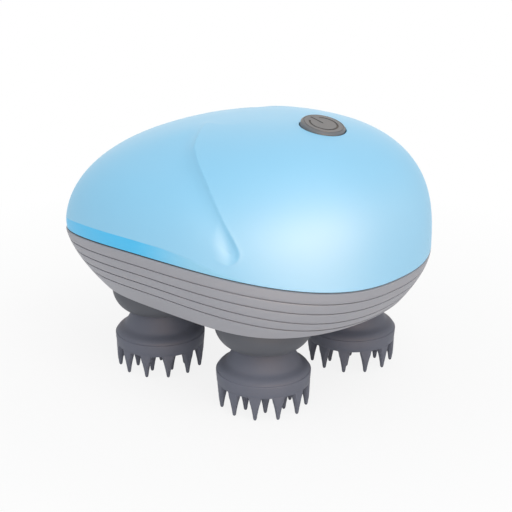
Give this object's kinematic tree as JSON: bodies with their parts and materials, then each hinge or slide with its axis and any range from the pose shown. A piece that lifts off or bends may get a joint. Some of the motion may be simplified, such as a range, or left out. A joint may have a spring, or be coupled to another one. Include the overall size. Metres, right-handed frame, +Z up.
{
  "type": "electric scalp massager",
  "caption": "Egg-shaped cordless scalp massager: turning heads with soft teeth under a banded casing, driven by gears and a motor inside, with a power button on top.",
  "frame": {"origin": "bottom centre of the overall box, level with the tips of the teeth", "axes": "+Z up, +X towards the blunt tail where the power button is, -X towards the pointed nose, +Y to the side that holds the battery"},
  "size_m": [0.112, 0.091, 0.079],
  "materials": {
    "shell_blue": "glossy, smooth moulded",
    "casing_grey": "satin moulded",
    "collar_grey": "satin moulded",
    "pad_rubber": "soft silicone",
    "seal_rubber": "soft",
    "button_grey": "smooth moulded",
    "frame_plastic": "moulded",
    "gear_plastic": "moulded",
    "plunger_plastic": "moulded",
    "black_plastic": "moulded",
    "steel": "turned",
    "brass": "turned",
    "magnet": "sintered",
    "armature": "laminated, wound",
    "cell_sleeve": "printed sleeve without markings",
    "board_green": "coated board"
  },
  "bodies": {
    "body": {"top_shell": "shell_blue", "lower_casing": "casing_grey", "parting_gasket": "seal_rubber", "gearbox_base": "frame_plastic", "gearbox_cover": "frame_plastic", "collar_1": "collar_grey", "collar_2": "collar_grey", "collar_3": "collar_grey", "collar_4": "collar_grey", "lip_seal_1": "seal_rubber", "lip_seal_2": "seal_rubber", "lip_seal_3": "seal_rubber", "lip_seal_4": "seal_rubber", "bush_1": "brass", "bush_2": "brass", "bush_3": "brass", "bush_4": "brass", "drive_axle": "steel", "idler_axle": "steel", "motor_can": "steel", "motor_end_cap": "black_plastic", "motor_magnets": "magnet", "battery_cell": "cell_sleeve", "battery_tray": "frame_plastic", "control_board": "board_green", "tact_switch": "black_plastic", "charging_socket": "black_plastic", "case_screws": "steel", "gearbox_screws": "steel", "motor_screws": "steel", "board_screws": "steel"},
    "button": {"power_button": "button_grey", "switch_plunger": "plunger_plastic"},
    "drive": {"drive_gear": "gear_plastic"},
    "idler": {"idler_gear": "gear_plastic"},
    "rotor": {"motor_shaft": "steel", "motor_armature": "armature", "motor_pinion": "brass"},
    "head_1": {"head_pad_1": "pad_rubber", "head_hub_1": "steel", "output_shaft_1": "steel", "head_gear_1": "gear_plastic"},
    "head_2": {"head_pad_2": "pad_rubber", "head_hub_2": "steel", "output_shaft_2": "steel", "head_gear_2": "gear_plastic"},
    "head_3": {"head_pad_3": "pad_rubber", "head_hub_3": "steel", "output_shaft_3": "steel", "head_gear_3": "gear_plastic"},
    "head_4": {"head_pad_4": "pad_rubber", "head_hub_4": "steel", "output_shaft_4": "steel", "head_gear_4": "gear_plastic"}
  },
  "joints": [
    {"name": "drive_spin", "type": "hinge", "parent": "body", "child": "drive", "pos_m": [0.0048, 0, 0.04], "axis": [0, 0, 1], "continuous": true},
    {"name": "head_1_spin", "type": "hinge", "parent": "body", "child": "head_1", "pos_m": [-0.01571, -0.02051, 0.04], "axis": [0, 0, 1], "continuous": true},
    {"name": "head_2_spin", "type": "hinge", "parent": "body", "child": "head_2", "pos_m": [0.02531, -0.02051, 0.04], "axis": [0, 0, 1], "continuous": true},
    {"name": "head_3_spin", "type": "hinge", "parent": "body", "child": "head_3", "pos_m": [0.02531, 0.02051, 0.04], "axis": [0, 0, 1], "continuous": true},
    {"name": "head_4_spin", "type": "hinge", "parent": "body", "child": "head_4", "pos_m": [-0.01571, 0.02051, 0.04], "axis": [0, 0, 1], "continuous": true},
    {"name": "idler_spin", "type": "hinge", "parent": "body", "child": "idler", "pos_m": [-0.0192, 0, 0.04], "axis": [0, 0, 1], "continuous": true},
    {"name": "motor_spin", "type": "hinge", "parent": "body", "child": "rotor", "pos_m": [-0.0042, 0, 0.04], "axis": [0, 0, 1], "continuous": true},
    {"name": "button_press", "type": "slide", "parent": "body", "child": "button", "axis": [-0.2385, 0, -0.9711], "range_m": [0, 0.0006], "stiffness_N_per_m": 2500}
  ],
  "couplings": [
    {"joint": "head_1_spin", "follows": "drive_spin", "ratio": -1.4167},
    {"joint": "head_2_spin", "follows": "drive_spin", "ratio": -1.4167},
    {"joint": "head_3_spin", "follows": "drive_spin", "ratio": -1.4167},
    {"joint": "head_4_spin", "follows": "drive_spin", "ratio": -1.4167},
    {"joint": "idler_spin", "follows": "drive_spin", "ratio": -4},
    {"joint": "motor_spin", "follows": "drive_spin", "ratio": 16}
  ]
}
